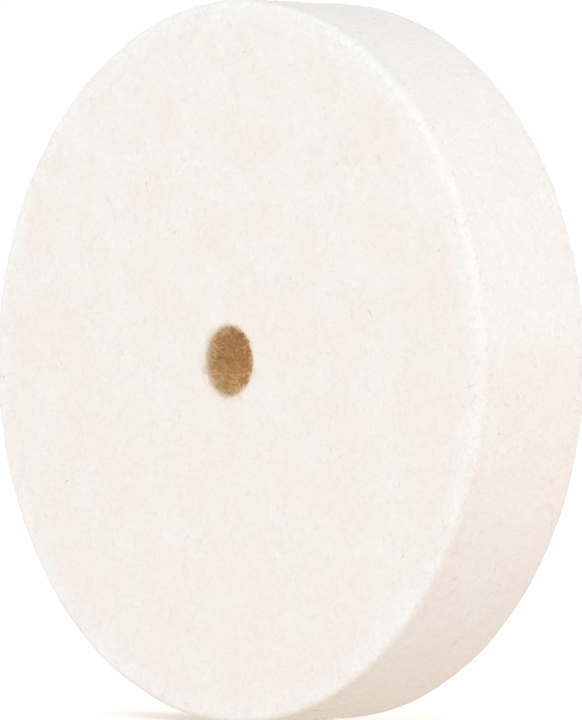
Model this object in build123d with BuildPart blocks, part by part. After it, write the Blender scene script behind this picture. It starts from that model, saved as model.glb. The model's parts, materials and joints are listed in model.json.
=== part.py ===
"""Felt polishing wheel: one thick disc of hard pressed wool felt with a plain bore through it.

Frame: millimetres, +Z up. The origin is the wheel's centre, midway between its two faces, and
the wheel spins about Y. The front face looks along -Y and the back face along +Y.
"""

import os

from build123d import *

# Driving dimensions
WHEEL_DIAMETER = 100.0
WHEEL_THICKNESS = 20.0
BORE_DIAMETER = 10.0
RIM_EDGE_RADIUS = 1.2  # the felt's outer edges are soft where each face turns into the rim
BORE_MOUTH_RADIUS = 0.6  # the cut felt rolls over a little at each end of the bore

# Worked out from them
WHEEL_RADIUS = WHEEL_DIAMETER / 2
BORE_RADIUS = BORE_DIAMETER / 2
FELT_DEPTH = WHEEL_RADIUS - BORE_RADIUS  # from the bore's wall out to the rim
BORE_WALL_LENGTH = WHEEL_THICKNESS - 2 * BORE_MOUTH_RADIUS  # its straight stretch

# The pressed felt disc: half of its cross-section, turned about the spin axis
with BuildPart() as felt_disc:
    with BuildSketch(Plane.XY) as cross_section:
        with Locations((BORE_RADIUS, 0)):
            Rectangle(FELT_DEPTH, WHEEL_THICKNESS, align=(Align.MIN, Align.CENTER))
        rim_corners = cross_section.vertices().group_by(Axis.X)[-1]
        fillet(rim_corners, RIM_EDGE_RADIUS)
        bore_corners = cross_section.vertices().group_by(Axis.X)[0]
        fillet(bore_corners, BORE_MOUTH_RADIUS)
    revolve(axis=Axis.Y)

felt_disc.part.label = "felt_disc"

os.makedirs("parts", exist_ok=True)
export_step(felt_disc.part, "parts/felt_disc.step")

print("felt disc volume", round(felt_disc.part.volume), "mm3; straight bore wall", BORE_WALL_LENGTH, "mm")
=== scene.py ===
"""The look of a felt polishing wheel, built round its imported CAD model.

Everything is in metres, in the CAD frame: the origin is the wheel's centre, the wheel spins about
Y, its front face looks along -Y, and +Z is up.
"""

import itertools
import json
import math

import bpy
import numpy as np
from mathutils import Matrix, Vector


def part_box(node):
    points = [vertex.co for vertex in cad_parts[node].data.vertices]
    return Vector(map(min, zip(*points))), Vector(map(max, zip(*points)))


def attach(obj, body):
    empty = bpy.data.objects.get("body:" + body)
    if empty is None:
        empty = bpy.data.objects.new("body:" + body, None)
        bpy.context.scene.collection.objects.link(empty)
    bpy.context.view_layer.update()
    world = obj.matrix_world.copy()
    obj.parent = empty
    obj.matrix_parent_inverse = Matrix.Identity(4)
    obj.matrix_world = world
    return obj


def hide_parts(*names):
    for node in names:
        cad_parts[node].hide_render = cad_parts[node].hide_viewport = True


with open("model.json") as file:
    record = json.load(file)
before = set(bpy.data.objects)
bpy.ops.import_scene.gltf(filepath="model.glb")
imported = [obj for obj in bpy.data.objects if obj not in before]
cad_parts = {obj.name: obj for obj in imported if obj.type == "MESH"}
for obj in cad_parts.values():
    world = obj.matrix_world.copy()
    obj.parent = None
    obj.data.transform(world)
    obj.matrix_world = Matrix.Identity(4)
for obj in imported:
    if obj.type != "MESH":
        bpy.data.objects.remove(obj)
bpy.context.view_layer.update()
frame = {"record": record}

MM = 0.001

# ------------------------------------------------------------------ sizes taken from the frame

_, DISC_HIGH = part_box("felt_disc")
WHEEL_RADIUS = DISC_HIGH.z
HALF_THICKNESS = DISC_HIGH.y
BORE = next(m for m in frame["record"]["mounts"] if m["name"] == "bore")
BORE_RADIUS = BORE["dims"]["r_mm"] * MM
MOUTH_ROLL = HALF_THICKNESS - BORE["dims"]["length_mm"] * MM / 2  # radius of the bore's rolled mouths
EDGE_ROLL = 1.0 * MM  # radius of the soft edges between the faces and the rim

# ------------------------------------------------------------------ the wheel's section

FACE_SPACING = 0.75 * MM  # between the section's points on its straight stretches
RIM_SPACING = 0.65 * MM
WALL_SPACING = 0.5 * MM
MOUTH_STEPS = 4  # steps in each of its arcs
EDGE_STEPS = 7


def arc_points(centre, radius, start, end, steps):
    """Rows of (radius, y, normal's radius part, normal's y part) along an arc of so many degrees,
    without its last point."""
    angles = np.radians(np.linspace(start, end, steps, endpoint=False))
    normals = np.column_stack((np.cos(angles), np.sin(angles)))
    return np.hstack((np.array(centre) + radius * normals, normals))


def line_points(start, end, normal, spacing):
    """The same rows along a straight stretch, without its last point."""
    start, end = np.array(start), np.array(end)
    steps = max(1, round(np.linalg.norm(end - start) / spacing))
    share = np.linspace(0, 1, steps, endpoint=False)[:, None]
    return np.hstack((start + share * (end - start), np.tile(normal, (steps, 1))))


def wheel_section():
    """The section from the bore's front mouth out over the front face, across the rim, in over the
    back face and along the bore's wall. Its rows, the distance along it of each row and of the
    start of each stretch, and its whole length."""
    wall, rim = BORE_RADIUS, WHEEL_RADIUS
    face_in, face_out = wall + MOUTH_ROLL, rim - EDGE_ROLL
    face, mouth_y, edge_y = HALF_THICKNESS, HALF_THICKNESS - MOUTH_ROLL, HALF_THICKNESS - EDGE_ROLL
    stretches = {
        "front_mouth": arc_points((face_in, -mouth_y), MOUTH_ROLL, 180, 270, MOUTH_STEPS),
        "front_face": line_points((face_in, -face), (face_out, -face), (0, -1), FACE_SPACING),
        "front_edge": arc_points((face_out, -edge_y), EDGE_ROLL, 270, 360, EDGE_STEPS),
        "rim": line_points((rim, -edge_y), (rim, edge_y), (1, 0), RIM_SPACING),
        "back_edge": arc_points((face_out, edge_y), EDGE_ROLL, 0, 90, EDGE_STEPS),
        "back_face": line_points((face_out, face), (face_in, face), (0, 1), FACE_SPACING),
        "back_mouth": arc_points((face_in, mouth_y), MOUTH_ROLL, 90, 180, MOUTH_STEPS),
        "wall": line_points((wall, mouth_y), (wall, -mouth_y), (-1, 0), WALL_SPACING),
    }
    rows = np.vstack(list(stretches.values()))
    steps = np.linalg.norm(np.roll(rows[:, :2], -1, axis=0) - rows[:, :2], axis=1)
    along = np.concatenate(([0], np.cumsum(steps)[:-1]))
    firsts = np.cumsum([0] + [len(s) for s in stretches.values()])
    starts = dict(zip(stretches, along[firsts[:-1]]))
    return rows, along, starts, steps.sum()


SECTION, ALONG, STARTS, SECTION_LENGTH = wheel_section()


def on_section(distance):
    """Radius, y and the normal's two parts at each distance along the section."""
    return [np.interp(distance, ALONG, SECTION[:, c], period=SECTION_LENGTH) for c in range(4)]


def around(radius, y, turn):
    """Points at a radius, a y and an angle about the spin axis."""
    return np.stack((radius * np.cos(turn), y, radius * np.sin(turn)), axis=-1)


# ------------------------------------------------------------------ unevenness of the felt

HASH_SIZE = 4096
HASH_VALUES = np.random.default_rng(11).uniform(-1, 1, HASH_SIZE)
HASH_STEPS = (73856093, 19349663, 83492791)  # large odd numbers, which scatter neighbours

WAVE_HEIGHT, WAVE_SIZE = 0.10 * MM, 13 * MM
CLUMP_HEIGHT, CLUMP_SIZE = 0.055 * MM, 2.6 * MM
KNOT_HEIGHT, KNOT_SIZE = 0.045 * MM, 1.2 * MM
RAGGED_HEIGHT, RAGGED_SIZE = 0.04 * MM, 5 * MM
RAGGED_FINE_SHARE, RAGGED_FINE_SIZE = 0.6, 1.8 * MM
BORED_SWELL = 0.06 * MM  # the bored wall stands in a little, and its lips a little more
LIP_SWELL = 0.15 * MM
BORED_HEIGHT, BORED_SIZE = 0.10 * MM, 0.7 * MM


def lumps(points, size):
    """Smooth noise from -1 to 1 at each point, with lumps about this size across."""
    cell = points / size
    base = np.floor(cell).astype(np.int64)
    share = cell - base
    share = share * share * (3 - 2 * share)
    total = np.zeros(points.shape[:-1])
    for corner in itertools.product((0, 1), repeat=3):
        weight = np.prod(np.where(corner, share, 1 - share), axis=-1)
        place = ((base + corner) * HASH_STEPS).sum(axis=-1) % HASH_SIZE
        total += weight * HASH_VALUES[place]
    return total


def felt_relief(points, normal_radius, normal_y):
    """How far the felt stands out of its nominal surface: slow waves, clumps, ragged edges and a
    rough bore."""
    edge = 2 * np.abs(normal_radius * normal_y)  # 1 halfway round a rolled edge, 0 on the flats
    in_bore = np.linalg.norm(points[..., [0, 2]], axis=-1) < BORE_RADIUS + MOUTH_ROLL
    waves = WAVE_HEIGHT * lumps(points, WAVE_SIZE)
    clumps = CLUMP_HEIGHT * lumps(points, CLUMP_SIZE) + KNOT_HEIGHT * lumps(points, KNOT_SIZE)
    ragged = lumps(points, RAGGED_SIZE) + RAGGED_FINE_SHARE * lumps(points, RAGGED_FINE_SIZE)
    bored = BORED_SWELL + LIP_SWELL * edge + BORED_HEIGHT * lumps(points, BORED_SIZE)
    return waves + clumps + RAGGED_HEIGHT * edge * ragged + in_bore * bored


# ------------------------------------------------------------------ meshes

BODY_TURNS = 480  # columns of faces round the felt's body
LOCK_SPREAD = 0.03 * MM  # how far the fibres of a lock start from its middle
LOCK_FAN = 0.15  # radians between their directions
LOCK_LENGTHS = (0.8, 1.1)  # of the lock's own length
LOCK_HEIGHTS = (0.85, 1.1)
TIP_SHARE = 0.35  # a fibre's thickness at its ends, of its thickness halfway
LEAST_RUN = 0.15  # of its length, which even the most upright fibre runs along the felt
KINK = 0.35  # how strong a fibre's random kinks are beside its one even bend
FREE_RISE = 1.3  # over 1, so a free fibre leaves the felt slowly and then rises faster
ROOT_SAMPLES = 400  # distances at which the section's radius is weighed
ROOT_DEPTH = 0.03 * MM  # how far under the felt's surface a fibre starts


def new_piece(name, vertices, faces, material, smooth):
    """A mesh object that rides on the wheel and takes the felt's finish."""
    mesh = bpy.data.meshes.new(name)
    mesh.from_pydata(vertices, [], faces)
    mesh.polygons.foreach_set("use_smooth", np.full(len(mesh.polygons), smooth))
    mesh.materials.append(material)
    piece = bpy.data.objects.new(name, mesh)
    bpy.context.scene.collection.objects.link(piece)
    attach(piece, "root")
    return piece


def felt_body(material):
    """The pressed felt itself: the section turned about the spin axis, with the felt's unevenness."""
    columns = [SECTION[:, c][:, None] for c in range(4)]
    turn = np.linspace(0, 2 * math.pi, BODY_TURNS, endpoint=False)[None, :]
    radius, y, normal_radius, normal_y, turn = np.broadcast_arrays(*columns, turn)
    points = around(radius, y, turn)
    normals = around(normal_radius, normal_y, turn)
    points = points + normals * felt_relief(points, normal_radius, normal_y)[..., None]
    ring = np.arange(len(SECTION))[:, None]
    step = np.arange(BODY_TURNS)[None, :]
    next_ring = (ring + 1) % len(SECTION)
    next_step = (step + 1) % BODY_TURNS
    corners = ((ring, step), (ring, next_step), (next_ring, next_step), (next_ring, step))
    quads = np.stack([at_ring * BODY_TURNS + at_step for at_ring, at_step in corners], axis=-1)
    body = new_piece("felt_body", points.reshape(-1, 3), quads.reshape(-1, 4).tolist(), material, True)
    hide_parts("felt_disc")


def fibre_mesh(paths, thickness):
    """Vertices and faces of thin three-sided fibres, tapered and closed at both ends. paths is an
    array of (fibre, point, xyz), and thickness one number for each fibre."""
    fibres, points, _ = paths.shape
    along = np.gradient(paths, axis=1)
    along /= np.linalg.norm(along, axis=-1, keepdims=True) + 1e-12
    slanted = (0.31, 0.83, 0.46)  # any direction that few fibres follow
    across = np.cross(along, slanted)
    across /= np.linalg.norm(across, axis=-1, keepdims=True) + 1e-12
    up = np.cross(along, across)
    share = np.linspace(0, 1, points)
    taper = TIP_SHARE + (1 - TIP_SHARE) * np.sqrt(np.clip(4 * share * (1 - share), 0, 1))
    reach = 0.5 * thickness[:, None, None] * taper[None, :, None]
    corners = [
        paths + reach * (math.cos(a) * across + math.sin(a) * up)
        for a in (0, 2 * math.pi / 3, 4 * math.pi / 3)
    ]
    vertices = np.stack(corners, axis=2).reshape(-1, 3)
    first = 3 * np.arange(fibres * points).reshape(fibres, points)
    here, there = first[:, :-1].ravel(), first[:, 1:].ravel()
    sides = [
        np.stack((here + a, here + b, there + b, there + a), axis=-1)
        for a, b in ((0, 1), (1, 2), (2, 0))
    ]
    quads = np.concatenate(sides).tolist()
    start, end = first[:, 0], first[:, -1]
    caps = np.stack((start + 2, start + 1, start), axis=-1).tolist()
    caps += np.stack((end, end + 1, end + 2), axis=-1).tolist()
    return vertices, quads + caps


def fibre_roots(rng, count, first, last):
    """Even spots between two distances along the section: the distance and the angle of each."""
    dense = np.linspace(first, last, ROOT_SAMPLES)
    weight = np.cumsum(on_section(dense)[0])
    distance = np.interp(rng.uniform(weight[0], weight[-1], count), weight, dense)
    return distance, rng.uniform(0, 2 * math.pi, count)


def fibre_starts(rng, count, first, last, length, lift, heading, lock):
    """The distance along the section, the angle, the direction, the length and the height of each
    fibre. Fibres start in locks of so many, which lie close together and alike. More than one to
    a lock is for the bore only."""
    locks = count // lock
    distance, turn = fibre_roots(rng, locks, first, last)
    if heading is None:
        direction = rng.uniform(-math.pi, math.pi, locks)
    else:
        direction = rng.normal(heading[0], heading[1], locks)
    whole = rng.uniform(*length, locks)
    height = lift[0] + (lift[1] - lift[0]) * rng.random(locks) ** 2
    shared = (distance, turn, direction, whole, height)
    distance, turn, direction, whole, height = (np.repeat(values, lock) for values in shared)
    if lock > 1:
        distance = distance + rng.normal(0, LOCK_SPREAD, count)
        turn = turn + rng.normal(0, LOCK_SPREAD, count) / BORE_RADIUS
        direction = direction + rng.normal(0, LOCK_FAN, count)
        whole = whole * rng.uniform(*LOCK_LENGTHS, count)
        height = height * rng.uniform(*LOCK_HEIGHTS, count)
    return distance, turn, direction, whole, height


def fibre_paths(rng, count, points, first, last, length, lift, free, curl, heading=None, lock=1):
    """Fibres that start between two distances along the section, run over the felt in a curly
    line and rise by lift. A share of them, free, ends in the air, and the rest dip back in.
    heading is the middle and the spread of their direction, 0 being along the section."""
    starts = fibre_starts(rng, count, first, last, length, lift, heading, lock)
    distance, turn, direction, whole, height = starts
    run = np.sqrt(np.clip(whole**2 - height**2, (LEAST_RUN * whole) ** 2, None)) / (points - 1)
    bend = rng.normal(0, curl, count) / (points - 1)
    distances, turns = [distance], [turn]
    for _ in range(points - 1):
        direction = direction + bend + rng.normal(0, KINK * curl, count) / math.sqrt(points - 1)
        radius = np.maximum(on_section(distance)[0], BORE_RADIUS)
        distance = distance + run * np.cos(direction)
        turn = turn + run * np.sin(direction) / radius
        distances.append(distance)
        turns.append(turn)
    distance, turn = np.stack(distances, axis=1), np.stack(turns, axis=1)
    radius, y, normal_radius, normal_y = on_section(distance)
    base = around(radius, y, turn)
    share = np.linspace(0, 1, points)[None, :]
    ends_free = (rng.random(count) < free)[:, None]
    rise = np.where(ends_free, share**FREE_RISE, np.sin(math.pi * share)) * height[:, None]
    rise += felt_relief(base, normal_radius, normal_y) - ROOT_DEPTH
    return base + around(normal_radius, normal_y, turn) * rise[..., None]


def fibre_piece(name, seed, material, thickness, **shape):
    """A piece made of one family of fibres."""
    rng = np.random.default_rng(seed)
    paths = fibre_paths(rng, **shape)
    widths = rng.uniform(*thickness, len(paths))
    vertices, faces = fibre_mesh(paths, widths)
    new_piece(name, vertices, faces, material, False)


# ------------------------------------------------------------------ shader nodes


def shader_tree(name):
    """A new material with nothing but its output and a Principled shader."""
    material = bpy.data.materials.new(name)
    material.use_nodes = True
    tree = material.node_tree
    return material, tree, tree.nodes["Principled BSDF"]


def add(tree, kind, inputs=None, **settings):
    """A node of this kind. inputs maps its socket names or numbers to a value or a socket."""
    node = tree.nodes.new(kind)
    for key, value in settings.items():
        setattr(node, key, value)
    for key, value in (inputs or {}).items():
        if isinstance(value, bpy.types.NodeSocket):
            tree.links.new(value, node.inputs[key])
        else:
            node.inputs[key].default_value = value
    return node


def math_node(tree, operation, *values):
    return add(tree, "ShaderNodeMath", dict(enumerate(values)), operation=operation).outputs[0]


def vector_math(tree, operation, inputs):
    return add(tree, "ShaderNodeVectorMath", inputs, operation=operation).outputs


def remap(tree, value, low, high, to_low, to_high):
    """value, from low to high, carried to to_low to to_high, and held at both ends."""
    inputs = {0: value, 1: low, 2: high, 3: to_low, 4: to_high}
    return add(tree, "ShaderNodeMapRange", inputs).outputs[0]


def mix_colour(tree, factor, first, second, blend_type="MIX"):
    inputs = {0: factor, 6: first, 7: second}
    node = add(tree, "ShaderNodeMix", inputs, data_type="RGBA", blend_type=blend_type)
    return node.outputs[2]


def noise(tree, vector, size, detail=2.0):
    """Noise with features about this size across."""
    inputs = {"Vector": vector, "Scale": 1 / size, "Detail": detail}
    return add(tree, "ShaderNodeTexNoise", inputs)


def strands(tree, vector, length, width, directions, offset):
    """From 0 to 1, where strands of felt lie. Each layer is noise drawn out along its own
    direction in the plane of the faces, and shifted so that no two layers repeat. The highest
    strand wins. A different offset gives different strands."""
    highest = None
    for k in range(directions):
        angle = math.pi * (k + 0.5 * (offset % 1)) / directions
        inputs = {
            "Vector": vector,
            "Location": ((offset + 3.1 * k) * MM, 17 * k * MM, (offset - 2.3 * k) * MM),
            "Rotation": (0, angle, 0),
            "Scale": (length, width, width),
        }
        placed = add(tree, "ShaderNodeMapping", inputs, vector_type="TEXTURE").outputs[0]
        layer = noise(tree, placed, 1.0, detail=1.0).outputs[0]
        highest = layer if highest is None else math_node(tree, "MAXIMUM", highest, layer)
    return remap(tree, highest, *STRAND_FADE, 0, 1)


def curled(tree, vector, size, reach):
    """The coordinates, pushed about so that strands laid out with them curl."""
    push = noise(tree, vector, size, detail=1.0).outputs["Color"]
    centred = vector_math(tree, "SUBTRACT", {0: push, 1: (0.5, 0.5, 0.5)})[0]
    scaled = vector_math(tree, "SCALE", {0: centred, "Scale": reach})[0]
    return vector_math(tree, "ADD", {0: vector, 1: scaled})[0]


# ------------------------------------------------------------------ materials

WOOL_CREAM = (0.827, 0.827, 0.823, 1)
WOOL_PINK = (0.832, 0.802, 0.801, 1)
PAINTED_WARM_BELOW = 2.0  # per metre: painted light, the patches turn slowly from cream at the top to pink at the bottom, for cool light from above and warm light from below
WOOL_GREY = (0.60, 0.56, 0.51, 1)
EDGE_TINT = (1.010, 1.045, 1.065, 1)  # the rubbed edges are a little whiter
# painted shade: the felt's wool a touch darker, so that loose fibres, which catch more light, don't
# stand out brighter than the felt
LOOSE_CREAM_SHADED = (0.815, 0.815, 0.811, 1)
LOOSE_PINK_SHADED = (0.820, 0.790, 0.789, 1)
# painted shade: the warm brown that cream wool takes deep in the bore's shade, lighter on the strands
BORE_SHADE_WOOL = (0.76, 0.485, 0.215, 1)
BORE_SHADE_WOOL_LIGHT = (0.81, 0.57, 0.31, 1)
# painted shade: the bore's fibres, tufts and fringe take the warm tan of cream wool in the bore's
# shade
BORE_FIBRE_SHADE_TAN = (0.70, 0.44, 0.19, 1)
BORE_FIBRE_SHADE_PALE = (0.87, 0.65, 0.38, 1)
TUFT_SHADE_TAN = (0.79, 0.53, 0.26, 1)
TUFT_SHADE_PALE = (0.93, 0.77, 0.51, 1)
FRINGE_SHADE_TAN = (0.93, 0.80, 0.63, 1)
FRINGE_SHADE_PALE = (0.91, 0.84, 0.74, 1)
STRAY_HAIR = (0.28, 0.24, 0.20, 1)
STRAY_HAIR_LIGHT = (0.46, 0.41, 0.36, 1)

STRAND_CURL_SIZE = 1.6 * MM
STRAND_CURL_REACH = 1.1 * MM
COARSE_STRAND = (1.9 * MM, 0.55 * MM)  # length and width
FINE_STRAND = (1.5 * MM, 0.22 * MM)
STRAND_DIRECTIONS = 4
STRAND_FADE = (0.5, 0.78)  # the noise from which a strand rises, and at which it is whole
COARSE_SHARE = 0.85  # of the pile, the rest being fine strands
PATCH_SIZE, PATCH_FADE = 9 * MM, (0.42, 0.60)  # the noise at which cream turns to pink
PILE_TOP, PILE_PAINTED_SHADES = 0.8, (0.965, 1.015)  # painted shade: darkest between the strands, lightest on them
# painted shade of the felt's clumps
MOTTLE_SIZE, MOTTLE_PAINTED_SHADES = 2.0 * MM, (0.975, 1.025)
SPECK_SIZE, SPECK_FADE = 0.9 * MM, (0.68, 0.84)
SPECK_GAP, SPECK_GAP_FADE = 3.7 * MM, (0.58, 0.68)  # specks keep to the peaks of a slower noise
SPECK_STRENGTH = 0.35
RUFFLE_SIZE, RUFFLE_REACH = 3 * MM, 1.6 * MM
RUBBED_FADE = (2.0 * MM, 4.6 * MM)  # where the rubbed band fades out, in from the edge
RUBBED_ON_RIM = 3.5  # it is this many times narrower on the rim than on the face
FRAY_SIZE, FRAY_REACH = 0.6 * MM, 0.8 * MM
BORE_SHADE_FADE = (0.50 * MM, 1.85 * MM)  # where the painted brown shade sets in, down from the face
CLEAR_OF_BORE = 2 * MM  # past this much outside the bore's wall, nothing takes the painted brown shade
PEBBLE_SIZE, PEBBLE_HEIGHT = 0.9 * MM, 1.1  # the height is a multiple of the pile's
BUMP_HEIGHT, BUMP_STRENGTH = 0.14 * MM, 0.35
FIBRE_PATCH, FIBRE_FADE = 2.0 * MM, (0.35, 0.65)


def wool_colour(tree, place, bent, pile, up):
    """Cream and pink patches, drifting pinker towards the bottom as painted light, with painted shade
    that is lighter where strands lie and darker between them and in soft clumps, and a few grey
    specks.
    """
    patches = noise(tree, place, PATCH_SIZE, detail=3.0).outputs[0]
    # painted light: pinker towards the bottom, standing in for warm light from below and cool light
    # from above
    patches = math_node(tree, "MULTIPLY_ADD", up, -PAINTED_WARM_BELOW, patches)
    wool = mix_colour(tree, remap(tree, patches, *PATCH_FADE, 0, 1), WOOL_CREAM, WOOL_PINK)
    # painted shade: the wool darker between the strands and in soft clumps
    shade = remap(tree, pile, 0, PILE_TOP, *PILE_PAINTED_SHADES)
    clump_shade = remap(tree, noise(tree, place, MOTTLE_SIZE).outputs[0], 0, 1, *MOTTLE_PAINTED_SHADES)
    shade = math_node(tree, "MULTIPLY", shade, clump_shade)
    painted_shade_colour = add(tree, "ShaderNodeCombineColor", {0: shade, 1: shade, 2: shade}).outputs[0]
    wool = mix_colour(tree, 1.0, wool, painted_shade_colour, "MULTIPLY")
    specks = noise(tree, bent, SPECK_SIZE, detail=0.0).outputs[0]
    specks = remap(tree, specks, *SPECK_FADE, 0, 1)
    sparse = noise(tree, place, SPECK_GAP, detail=0.0).outputs[0]
    sparse = remap(tree, sparse, *SPECK_GAP_FADE, 0, SPECK_STRENGTH)
    return mix_colour(tree, math_node(tree, "MULTIPLY", specks, sparse), wool, WOOL_GREY)


def rubbed_edges(tree, place, wool, from_axis, depth):
    """The wool, a little whiter in an uneven band along the edges of the faces."""
    inward = math_node(tree, "SUBTRACT", WHEEL_RADIUS, from_axis)
    to_edge = math_node(tree, "MULTIPLY_ADD", depth, RUBBED_ON_RIM, inward)
    uneven = noise(tree, place, RUFFLE_SIZE).outputs[0]
    ruffled = math_node(tree, "MULTIPLY_ADD", uneven, RUFFLE_REACH, to_edge)
    rubbed = remap(tree, ruffled, *RUBBED_FADE, 1, 0)
    return mix_colour(tree, rubbed, wool, mix_colour(tree, 1.0, wool, EDGE_TINT, "MULTIPLY"))


def painted_bore_shade(tree, place, wool, pile, from_axis, depth):
    """The wool, with painted shade: light brown from just inside the bore's mouths."""
    uneven = math_node(tree, "MULTIPLY", noise(tree, place, FRAY_SIZE).outputs[0], FRAY_REACH)
    deep = remap(tree, math_node(tree, "ADD", depth, uneven), *BORE_SHADE_FADE, 0, 1)
    near_axis = math_node(tree, "LESS_THAN", from_axis, BORE_RADIUS + CLEAR_OF_BORE)
    inside = math_node(tree, "MULTIPLY", deep, near_axis)
    return mix_colour(tree, inside, wool, mix_colour(tree, pile, BORE_SHADE_WOOL, BORE_SHADE_WOOL_LIGHT))


def felt_material():
    """Pressed wool felt: matted strands in patchy wool with painted shade, rubbed edges and painted
    brown shade in the bore.
    """
    material, tree, shader = shader_tree("wool_felt")
    place = add(tree, "ShaderNodeTexCoord").outputs["Object"]
    bent = curled(tree, place, STRAND_CURL_SIZE, STRAND_CURL_REACH)
    coarse = strands(tree, bent, *COARSE_STRAND, STRAND_DIRECTIONS, offset=0.3)
    fine = strands(tree, bent, *FINE_STRAND, STRAND_DIRECTIONS, offset=7.7)
    faint = math_node(tree, "MULTIPLY", fine, 1 - COARSE_SHARE)
    pile = math_node(tree, "MULTIPLY_ADD", coarse, COARSE_SHARE, faint)

    x, y, z = add(tree, "ShaderNodeSeparateXYZ", {0: place}).outputs
    flat = add(tree, "ShaderNodeCombineXYZ", {0: x, 2: z}).outputs[0]
    from_axis = vector_math(tree, "LENGTH", {0: flat})["Value"]
    depth = math_node(tree, "SUBTRACT", HALF_THICKNESS, math_node(tree, "ABSOLUTE", y))
    wool = wool_colour(tree, place, bent, pile, z)
    wool = rubbed_edges(tree, place, wool, from_axis, depth)
    colour = painted_bore_shade(tree, place, wool, pile, from_axis, depth)

    tree.links.new(colour, shader.inputs["Base Color"])
    shader.inputs["Roughness"].default_value = 0.95
    shader.inputs["Specular IOR Level"].default_value = 0.15
    shader.inputs["Sheen Weight"].default_value = 0.15
    shader.inputs["Sheen Roughness"].default_value = 0.5
    pebbles = noise(tree, place, PEBBLE_SIZE, detail=1.0).outputs[0]
    height = math_node(tree, "MULTIPLY_ADD", pebbles, PEBBLE_HEIGHT, pile)
    relief = {"Strength": BUMP_STRENGTH, "Distance": BUMP_HEIGHT, "Height": height}
    tree.links.new(add(tree, "ShaderNodeBump", relief).outputs[0], shader.inputs["Normal"])
    return material


def fibre_material(name, first, second, patch=FIBRE_PATCH):
    """Loose fibres of two near colours, which change from patch to patch of this size."""
    material, tree, shader = shader_tree(name)
    place = add(tree, "ShaderNodeTexCoord").outputs["Object"]
    patches = noise(tree, place, patch, detail=1.0).outputs[0]
    colour = mix_colour(tree, remap(tree, patches, *FIBRE_FADE, 0, 1), first, second)
    tree.links.new(colour, shader.inputs["Base Color"])
    shader.inputs["Roughness"].default_value = 0.85
    shader.inputs["Specular IOR Level"].default_value = 0.2
    return material


# ------------------------------------------------------------------ the wheel's fibres


def face_fibres(material):
    """Matted fibres on both faces."""
    for side, seed in (("front", 21), ("back", 31)):
        first = STARTS[f"{side}_face"]
        last = first + WHEEL_RADIUS - EDGE_ROLL - BORE_RADIUS - MOUTH_ROLL
        fibre_piece(
            f"{side}_face_fibres", seed, material, (0.025 * MM, 0.045 * MM),
            count=6000, points=6, first=first, last=last, length=(1.2 * MM, 4.0 * MM),
            lift=(0.02 * MM, 0.06 * MM), free=0.02, curl=2.2,
        )


def rim_fibres(material):
    """Short cut fibres on the rim."""
    fibre_piece(
        "rim_fibres", 41, material, (0.03 * MM, 0.05 * MM),
        count=8500, points=4, first=STARTS["rim"], last=STARTS["back_edge"],
        length=(0.5 * MM, 1.8 * MM), lift=(0.02 * MM, 0.08 * MM), free=0.06, curl=1.2,
    )


def edge_fibres(material):
    """Fibres that lean out over the soft edges."""
    beside = 0.8 * MM  # how far their roots reach past the edge on both sides
    for side, seed in (("front", 51), ("back", 61)):
        first = STARTS[f"{side}_edge"]
        last = first + math.pi / 2 * EDGE_ROLL
        fibre_piece(
            f"{side}_edge_fibres", seed, material, (0.03 * MM, 0.05 * MM),
            count=3200, points=5, first=first - beside, last=last + beside,
            length=(0.6 * MM, 2.2 * MM), lift=(0.02 * MM, 0.09 * MM), free=0.06, curl=1.6,
        )


def bore_wall_fibres(material):
    """Fibres, light brown with painted shade, that stand into the bore from its wall, clear of its
    mouths.
    """
    clear = 0.7 * MM
    fibre_piece(
        "bore_wall_fibres", 71, material, (0.04 * MM, 0.07 * MM),
        count=6000, points=5, first=STARTS["wall"] + clear, last=SECTION_LENGTH - clear,
        length=(0.6 * MM, 1.8 * MM), lift=(0.2 * MM, 1.1 * MM), free=1.0, curl=0.8, lock=2,
    )


def mouth_fibres(tufts, fringe):
    """At each mouth of the bore, pale locks that stand into it near the wall's end, and a fine fringe
    on its lip, both tan with painted shade."""
    roll = MOUTH_ROLL * math.pi / 2
    reach_in, reach_out = 2.0 * MM, 0.1 * MM
    mouths = (("front", 81, 0.0, 1), ("back", 91, STARTS["wall"], -1))
    for side, seed, wall_end, outward in mouths:
        tuft_first, tuft_last = sorted((wall_end - outward * reach_in, wall_end + outward * reach_out))
        lip_first, lip_last = sorted((wall_end + outward * reach_out, wall_end + outward * roll))
        inward = math.pi if outward > 0 else 0.0
        fibre_piece(
            f"{side}_mouth_tufts", seed, tufts, (0.035 * MM, 0.06 * MM),
            count=1500, points=5, first=tuft_first, last=tuft_last, heading=(inward, 1.0),
            length=(0.8 * MM, 1.6 * MM), lift=(0.4 * MM, 1.4 * MM), free=1.0, curl=0.6, lock=5,
        )
        fibre_piece(
            f"{side}_mouth_fibres", seed + 1, fringe, (0.02 * MM, 0.04 * MM),
            count=1500, points=5, first=lip_first, last=lip_last, heading=(inward, 0.7),
            length=(0.4 * MM, 1.1 * MM), lift=(0.1 * MM, 0.6 * MM), free=1.0, curl=0.8,
        )


def stray_hairs(material):
    """The few dark hairs that are pressed into any natural wool felt."""
    for side, seed, count, first, last in (
        ("front", 101, 12, STARTS["front_face"], STARTS["front_edge"]),
        ("rim", 111, 6, STARTS["rim"], STARTS["back_edge"]),
        ("back", 121, 12, STARTS["back_face"], STARTS["back_mouth"]),
    ):
        fibre_piece(
            f"{side}_stray_hairs", seed, material, (0.03 * MM, 0.06 * MM),
            count=count, points=7, first=first, last=last,
            length=(0.4 * MM, 2.6 * MM), lift=(0.03 * MM, 0.08 * MM), free=0.0, curl=2.0,
        )


# ------------------------------------------------------------------ studio

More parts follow.
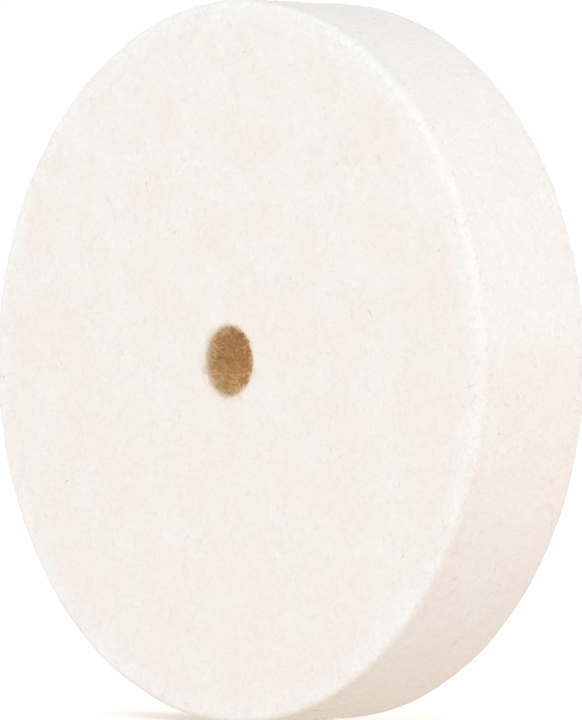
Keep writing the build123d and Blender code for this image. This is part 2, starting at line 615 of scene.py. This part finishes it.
ZENITH_LIGHT = (0.85, 0.77, 0.69, 1)
SKY_LIGHT = (0.762, 0.746, 0.732, 1)
HORIZON_LIGHT = (1.01, 1.02, 1.02, 1)
FLOOR_BOUNCE = (0.900, 0.724, 0.558, 1)
NADIR_LIGHT = (0.93, 0.90, 0.86, 1)
ZENITH_FADE = (0.5, 1.0)  # the heights between which one light gives way to the next
HORIZON_FADE = (0.08, 0.45)
FLOOR_FADE = (-0.12, -0.02)
NADIR_FADE = (-1.0, -0.5)

FLOOR_SIZE = 30.0
FLOOR_GAP = 0.3 * MM  # room under the wheel for its waves and loose fibres
FLOOR_WHITE = (0.92, 0.92, 0.92, 1)
WASH_STRENGTH, WASH_ANGLE = 1.3, math.radians(120)

BEAM_DISTANCE, BEAM_POWER = 0.45, 7.0
BEAM_SLANT = math.radians(29)  # off the bore's axis
BEAM_ROLLS = {"bore_light_upper": math.radians(33), "bore_light_lower": math.radians(-33)}
BEAM_WIDTH = math.radians(1.25)  # about as wide as the bore at that distance
BEAM_SOURCE = 1 * MM

CAMERA_AZIMUTH, CAMERA_DISTANCE = math.radians(47.35), 0.934
CAMERA_LENS = 335
AIM_RIGHT, AIM_UP = 1.25 * MM, 0.17 * MM


def new_light(name, kind, power):
    """A light in the scene, and its data."""
    data = bpy.data.lights.new(name, kind)
    data.energy = power
    light = bpy.data.objects.new(name, data)
    bpy.context.scene.collection.objects.link(light)
    return light, data


def area_light(name, place, size, power, colour):
    """A soft box that looks at the wheel's centre, and that the camera doesn't see."""
    light, data = new_light(name, "AREA", power)
    data.shape = "DISK"
    data.size = size
    data.color = colour
    light.location = place
    light.rotation_euler = (-Vector(place)).to_track_quat("-Z", "Y").to_euler()
    light.visible_camera = False


def bore_lights():
    """Two narrow beams that enter the bore from behind, so that its depth isn't lost in shade."""
    for name, roll in BEAM_ROLLS.items():
        light, data = new_light(name, "SPOT", BEAM_POWER)
        data.spot_size = BEAM_WIDTH
        data.spot_blend = 1.0
        data.shadow_soft_size = BEAM_SOURCE
        across = Vector((math.cos(roll), 0, math.sin(roll)))
        away = across * math.sin(BEAM_SLANT) + Vector((0, math.cos(BEAM_SLANT), 0))
        light.location = Vector((0, HALF_THICKNESS, 0)) + away * BEAM_DISTANCE
        light.rotation_euler = (-away).to_track_quat("-Z", "Y").to_euler()


def floor():
    """A plain white floor that the wheel stands on. It takes the wheel's shadow, but it doesn't
    light the wheel or shade it: the surround's lower half lights the wheel in its place."""
    bpy.ops.mesh.primitive_plane_add(size=FLOOR_SIZE, location=(0, 0, -WHEEL_RADIUS - FLOOR_GAP))
    plane = bpy.context.object
    plane.name = "floor"
    material, _, shader = shader_tree("floor")
    shader.inputs["Base Color"].default_value = FLOOR_WHITE
    shader.inputs["Roughness"].default_value = 1.0
    shader.inputs["Specular IOR Level"].default_value = 0.0
    plane.data.materials.append(material)
    plane.visible_diffuse = False
    plane.visible_shadow = False
    floor_wash(plane)


def floor_wash(plane):
    """An even light on the floor alone, which brings it up to the white of the horizon."""
    wash, data = new_light("floor_wash", "SUN", WASH_STRENGTH)
    data.angle = WASH_ANGLE
    floor_only = bpy.data.collections.new("floor_only")
    floor_only.objects.link(plane)
    wash.light_linking.receiver_collection = floor_only
    wash.light_linking.blocker_collection = floor_only


def world_light():
    """Even light from all round: white at the horizon, weaker above it, and warm from straight
    above and from below. Heights run from -1, straight below, to 1, straight above."""
    world = bpy.data.worlds.new("studio")
    world.use_nodes = True
    tree = world.node_tree
    background = tree.nodes["Background"]
    direction = add(tree, "ShaderNodeTexCoord").outputs["Generated"]
    height = add(tree, "ShaderNodeSeparateXYZ", {0: direction}).outputs["Z"]
    overhead = mix_colour(tree, remap(tree, height, *ZENITH_FADE, 0, 1), SKY_LIGHT, ZENITH_LIGHT)
    above = mix_colour(tree, remap(tree, height, *HORIZON_FADE, 0, 1), HORIZON_LIGHT, overhead)
    below = mix_colour(tree, remap(tree, height, *NADIR_FADE, 0, 1), NADIR_LIGHT, FLOOR_BOUNCE)
    light = mix_colour(tree, remap(tree, height, *FLOOR_FADE, 0, 1), below, above)
    tree.links.new(light, background.inputs["Color"])
    background.inputs["Strength"].default_value = 1.0
    bpy.context.scene.world = world
    bpy.context.scene.view_settings.view_transform = "Standard"


def camera():
    """At wheel height, a long lens, looking at the front face from the right."""
    back = Vector((math.sin(CAMERA_AZIMUTH), -math.cos(CAMERA_AZIMUTH), 0))
    right = Vector((math.cos(CAMERA_AZIMUTH), math.sin(CAMERA_AZIMUTH), 0))
    data = bpy.data.cameras.new("camera")
    data.lens = CAMERA_LENS
    data.sensor_width = 36
    data.clip_start = 0.01
    data.clip_end = 100
    cam = bpy.data.objects.new("camera", data)
    cam.location = back * CAMERA_DISTANCE
    aim = right * AIM_RIGHT + Vector((0, 0, AIM_UP))
    cam.rotation_euler = (aim - cam.location).to_track_quat("-Z", "Y").to_euler()
    bpy.context.scene.collection.objects.link(cam)
    bpy.context.scene.camera = cam


# ------------------------------------------------------------------ build

felt = felt_material()
loose_wool = fibre_material("loose_wool", LOOSE_CREAM_SHADED, LOOSE_PINK_SHADED)
# the bore's fibres, tufts and fringe are tinted with painted warm shade
bore_shade_fibres = fibre_material("bore_shade_fibres", BORE_FIBRE_SHADE_TAN, BORE_FIBRE_SHADE_PALE, 0.25 * MM)
tuft_shade_wool = fibre_material("tuft_shade_wool", TUFT_SHADE_TAN, TUFT_SHADE_PALE, 0.3 * MM)
fringe_shade_wool = fibre_material("fringe_shade_wool", FRINGE_SHADE_TAN, FRINGE_SHADE_PALE)
stray_hair = fibre_material("stray_hair", STRAY_HAIR, STRAY_HAIR_LIGHT)
felt_body(felt)
face_fibres(loose_wool)
rim_fibres(loose_wool)
edge_fibres(loose_wool)
bore_wall_fibres(bore_shade_fibres)
mouth_fibres(tuft_shade_wool, fringe_shade_wool)
stray_hairs(stray_hair)
floor()
world_light()
camera()
area_light("key", place=(1.51, -1.44, 0.756), size=1.26, power=15.8, colour=(0.93, 0.975, 1.025))
area_light("left_fill", place=(-1.4, -1.4, 0.3), size=1.2, power=5.0, colour=(0.78, 0.98, 1.10))
bore_lights()
area_light("rear_fill", place=(1.5, 1.2, 0.5), size=0.9, power=4.8, colour=(0.80, 0.97, 1.04))
